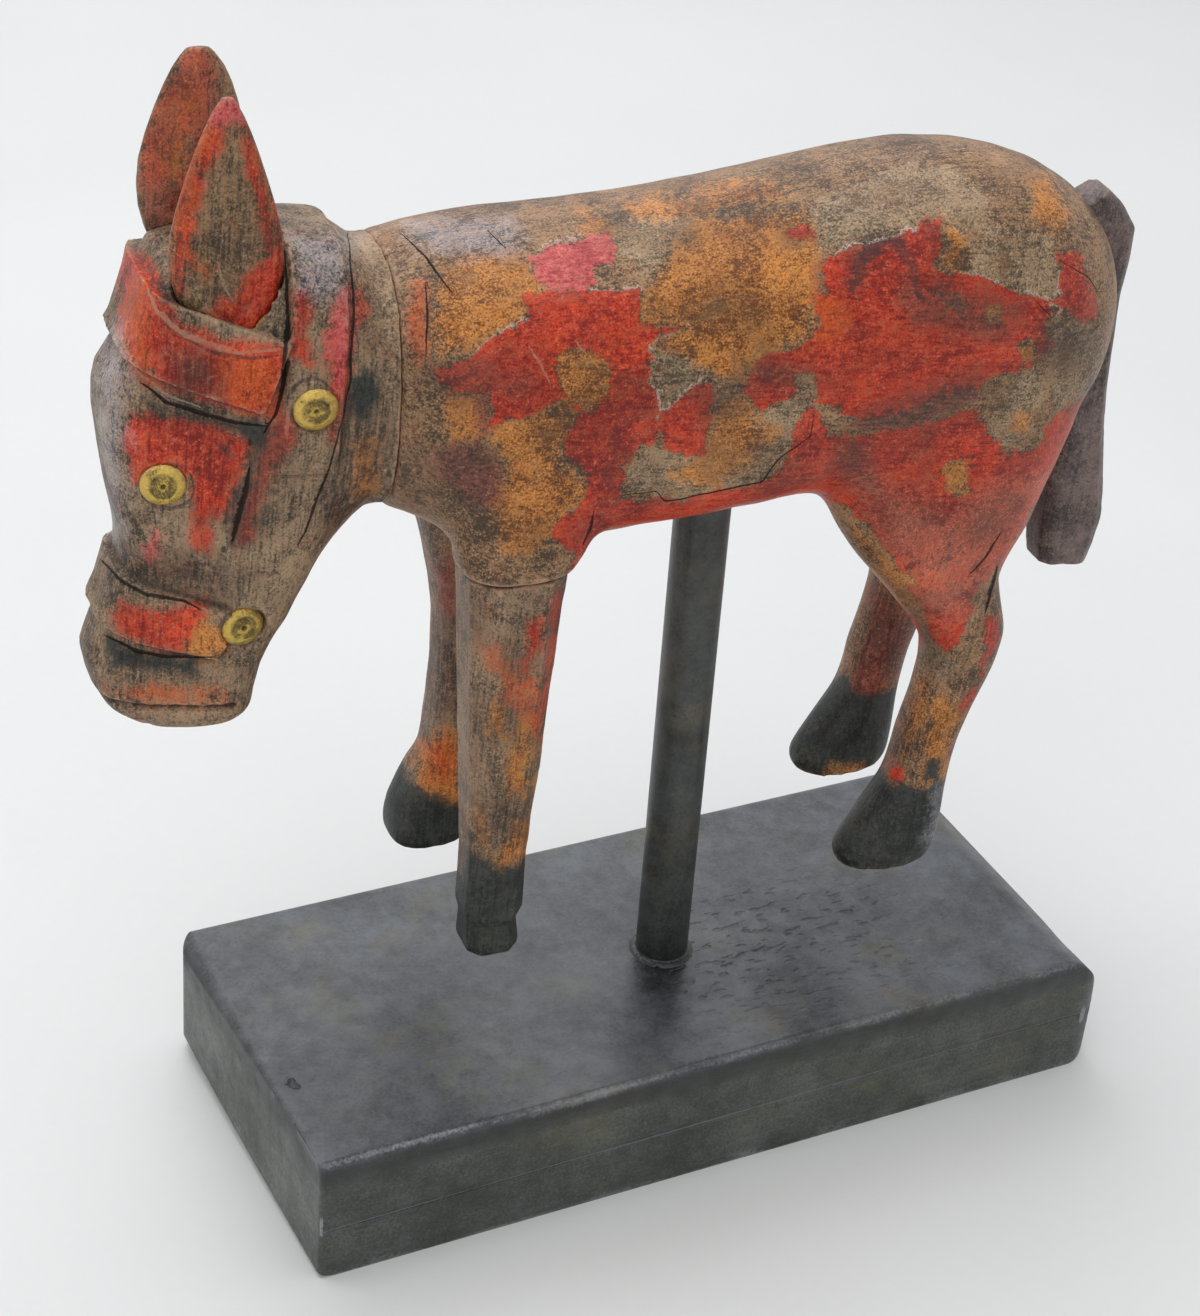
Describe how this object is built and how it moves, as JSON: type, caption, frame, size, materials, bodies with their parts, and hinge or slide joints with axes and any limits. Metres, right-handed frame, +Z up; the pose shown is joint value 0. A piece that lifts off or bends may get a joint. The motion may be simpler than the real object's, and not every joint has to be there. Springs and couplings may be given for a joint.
{
  "type": "carved wooden donkey figurine",
  "caption": "Hand-carved painted wooden donkey with lowered head, carved bridle straps and brass tack eyes, held over a black block stand by a dowel post.",
  "frame": {"origin": "middle of the stand's underside, which rests on the table", "axes": "+X along the stand from the head end to the tail end, +Y to the animal's right side, +Z up"},
  "size_m": [0.2313, 0.0844, 0.2513],
  "materials": {
    "black_paint": "black satin paint over wood, rubbed at the edges",
    "red_paint": "flaking red and ochre paint over grey-brown wood, waxed",
    "ochre_paint": "worn brown and ochre paint, black at the hoof",
    "dark_wood": "dark stained wood, cut in facets",
    "bare_wood": "bare hidden dowel wood",
    "brass": "scratched aged brass"
  },
  "bodies": {
    "root": {"base_block": "black_paint", "post": "black_paint", "body": "red_paint", "head": "red_paint", "left_ear": "red_paint", "right_ear": "red_paint", "left_foreleg": "ochre_paint", "right_foreleg": "ochre_paint", "tail": "dark_wood", "neck_dowel": "bare_wood", "left_foreleg_dowel": "bare_wood", "right_foreleg_dowel": "bare_wood", "left_eye_tack": "brass", "right_eye_tack": "brass", "left_cheek_tack": "brass", "right_cheek_tack": "brass", "left_muzzle_tack": "brass", "right_muzzle_tack": "brass"}
  },
  "joints": []
}
